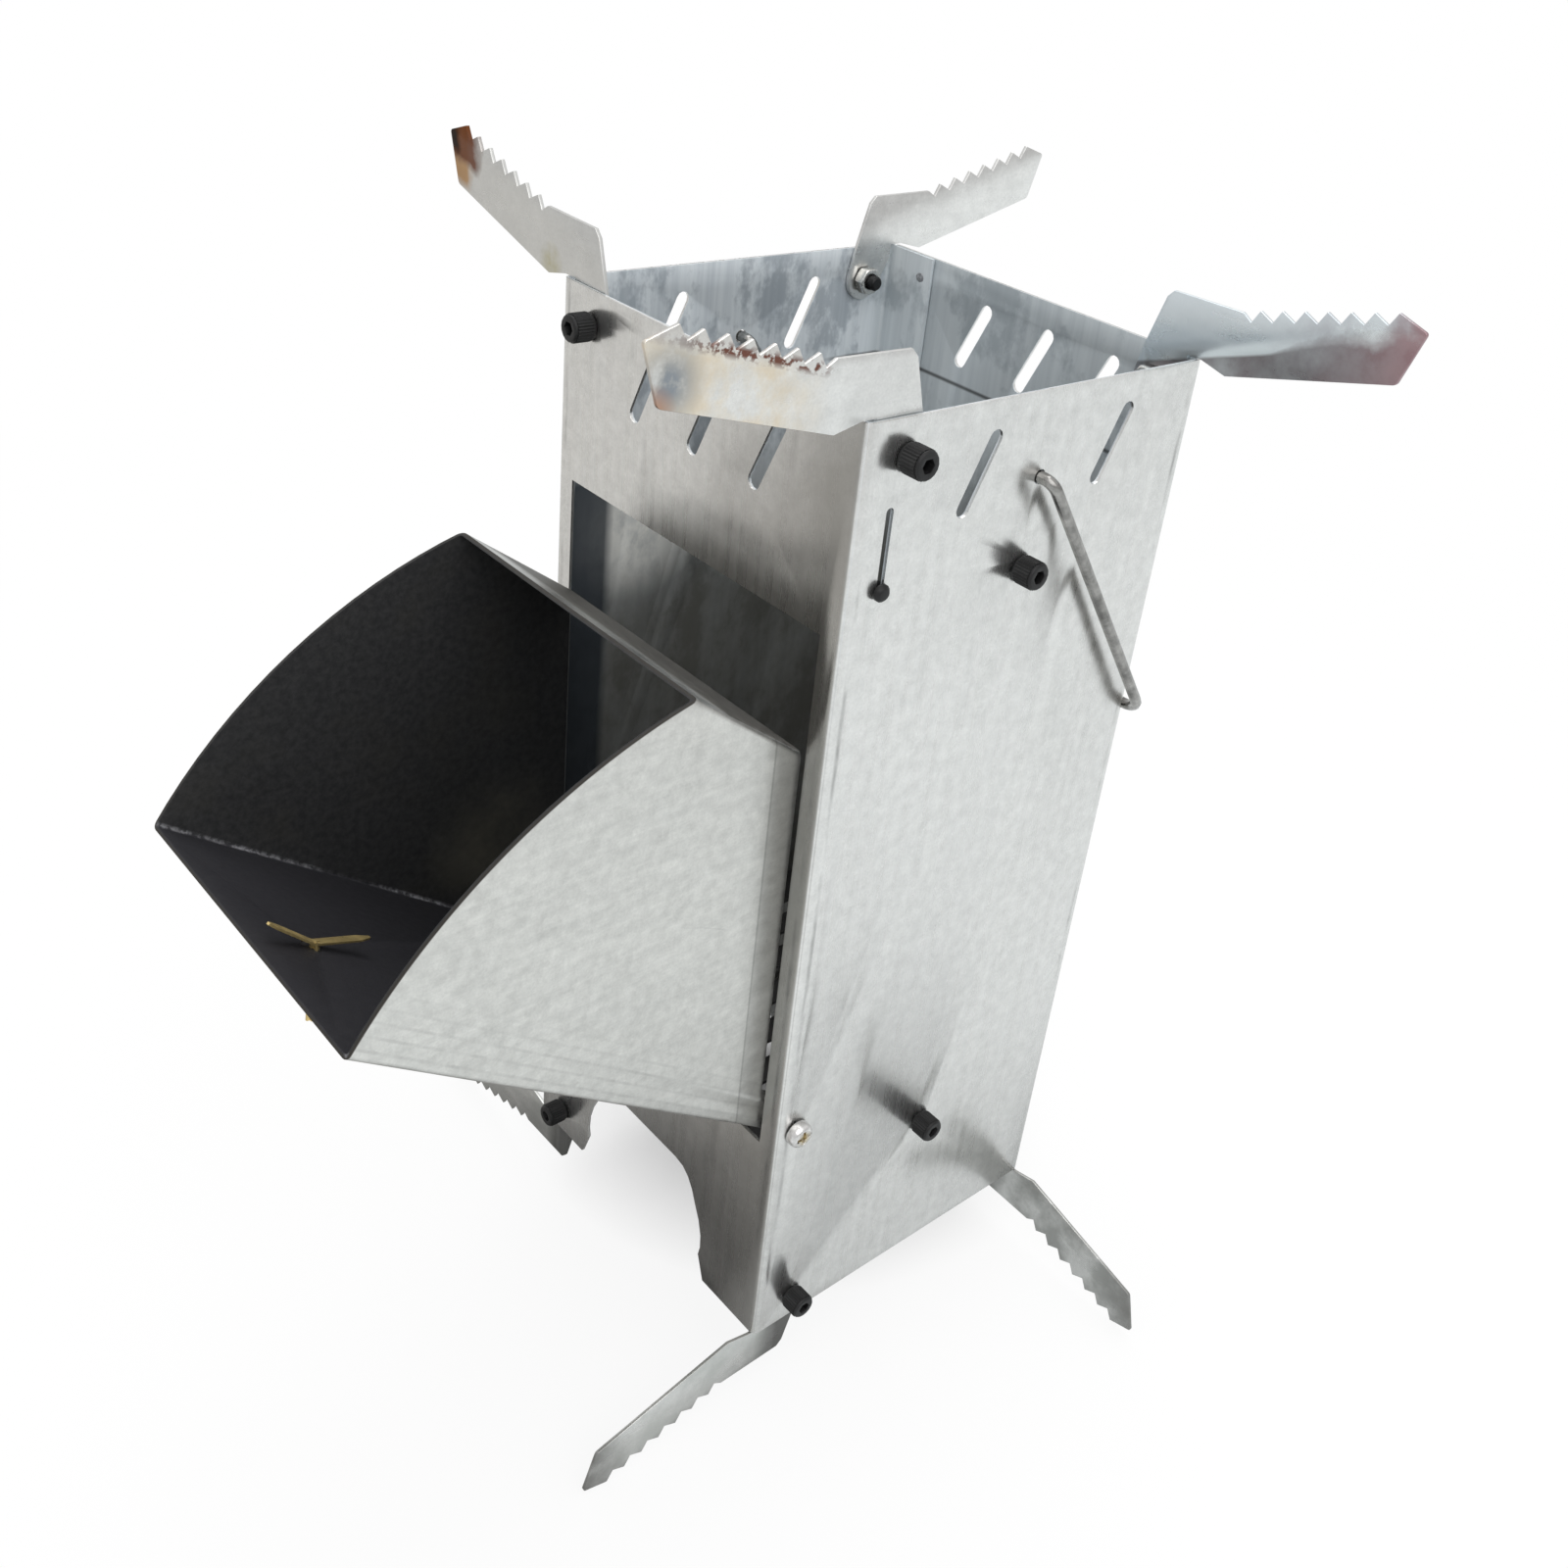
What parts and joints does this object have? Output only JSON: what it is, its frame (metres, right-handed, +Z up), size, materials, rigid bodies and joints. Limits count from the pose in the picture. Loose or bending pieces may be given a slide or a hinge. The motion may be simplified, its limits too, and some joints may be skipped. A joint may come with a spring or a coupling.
{
  "type": "folding camp stove",
  "caption": "Folding sheet-metal camp stove: square slotted tower, toothed fold-out pot arms and matching legs, tilting wedge-shaped fuel hopper, fire grate and wire bail.",
  "frame": {"origin": "centre of the open stove's footprint box, on the ground that the leg tips stand on", "axes": "+Z up along the tower, -Y out of the front wall with the hopper, +X to the right seen from the front"},
  "size_m": [0.2278, 0.287, 0.3314],
  "materials": {
    "galvanised_sheet": "hot-dip galvanised sheet, light warm grey with fine rolling streaks",
    "plate_steel": "cut galvanised plate, heat tinted towards the tips",
    "sooty_steel": "sheet darkened by soot",
    "black_oxide": "black oxide cap screws, satin",
    "bright_zinc": "bright zinc plating",
    "brass": "pressed brass",
    "bail_steel": "drawn steel wire"
  },
  "bodies": {
    "tower": {"tower_shell": "galvanised_sheet", "arm_screw_front": "black_oxide", "arm_nut_front": "bright_zinc", "leg_screw_front": "black_oxide", "leg_nut_front": "bright_zinc", "arm_screw_right": "black_oxide", "arm_nut_right": "bright_zinc", "leg_screw_right": "black_oxide", "leg_nut_right": "bright_zinc", "arm_screw_back": "black_oxide", "arm_nut_back": "bright_zinc", "leg_screw_back": "black_oxide", "leg_nut_back": "bright_zinc", "arm_screw_left": "black_oxide", "arm_nut_left": "bright_zinc", "leg_screw_left": "black_oxide", "leg_nut_left": "bright_zinc", "upper_screw_left": "black_oxide", "upper_nut_left": "bright_zinc", "grate_screw_left": "black_oxide", "grate_nut_left": "bright_zinc", "hopper_screw_left": "bright_zinc", "hopper_spacer_left": "bright_zinc", "hopper_nut_left": "bright_zinc", "upper_screw_right": "black_oxide", "upper_nut_right": "bright_zinc", "grate_screw_right": "black_oxide", "grate_nut_right": "bright_zinc", "hopper_screw_right": "bright_zinc", "hopper_spacer_right": "bright_zinc", "hopper_nut_right": "bright_zinc", "fire_grate": "sooty_steel"},
    "arm_front": {"pot_arm_front": "plate_steel"},
    "leg_front": {"leg_front": "plate_steel"},
    "arm_right": {"pot_arm_right": "plate_steel"},
    "leg_right": {"leg_right": "plate_steel"},
    "arm_back": {"pot_arm_back": "plate_steel"},
    "leg_back": {"leg_back": "plate_steel"},
    "arm_left": {"pot_arm_left": "plate_steel"},
    "leg_left": {"leg_left": "plate_steel"},
    "hopper": {"hopper": "galvanised_sheet", "brass_fastener": "brass"},
    "bail": {"bail_handle": "bail_steel"},
    "latch": {"latch_pin": "black_oxide"}
  },
  "joints": [
    {"name": "arm_front_fold", "type": "hinge", "parent": "tower", "child": "arm_front", "pos_m": [-0.0443, -0.02576, 0.2964], "axis": [0, 1, 0], "range_deg": [0, 154]},
    {"name": "arm_right_fold", "type": "hinge", "parent": "tower", "child": "arm_right", "pos_m": [0.05535, -0.01471, 0.2964], "axis": [-1, 0, 0], "range_deg": [0, 154]},
    {"name": "arm_back_fold", "type": "hinge", "parent": "tower", "child": "arm_back", "pos_m": [0.0443, 0.08494, 0.2964], "axis": [0, -1, 0], "range_deg": [0, 154]},
    {"name": "arm_left_fold", "type": "hinge", "parent": "tower", "child": "arm_left", "pos_m": [-0.05535, 0.07389, 0.2964], "axis": [1, 0, 0], "range_deg": [0, 154]},
    {"name": "leg_front_fold", "type": "hinge", "parent": "tower", "child": "leg_front", "pos_m": [-0.0443, -0.02576, 0.035], "axis": [0, -1, 0], "range_deg": [0, 180]},
    {"name": "leg_right_fold", "type": "hinge", "parent": "tower", "child": "leg_right", "pos_m": [0.05535, -0.01471, 0.035], "axis": [1, 0, 0], "range_deg": [0, 180]},
    {"name": "leg_back_fold", "type": "hinge", "parent": "tower", "child": "leg_back", "pos_m": [0.0443, 0.08494, 0.035], "axis": [0, 1, 0], "range_deg": [0, 180]},
    {"name": "leg_left_fold", "type": "hinge", "parent": "tower", "child": "leg_left", "pos_m": [-0.05535, 0.07389, 0.035], "axis": [-1, 0, 0], "range_deg": [0, 180]},
    {"name": "hopper_tilt", "type": "hinge", "parent": "tower", "child": "hopper", "pos_m": [0, -0.02136, 0.104], "axis": [-1, 0, 0], "range_deg": [0, 54]},
    {"name": "bail_swing", "type": "hinge", "parent": "tower", "child": "bail", "pos_m": [0, 0.03079, 0.2838], "axis": [1, 0, 0], "range_deg": [0, 58]},
    {"name": "latch_slide", "type": "slide", "parent": "tower", "child": "latch", "axis": [0, 0, 1], "range_m": [0, 0.0185]}
  ]
}
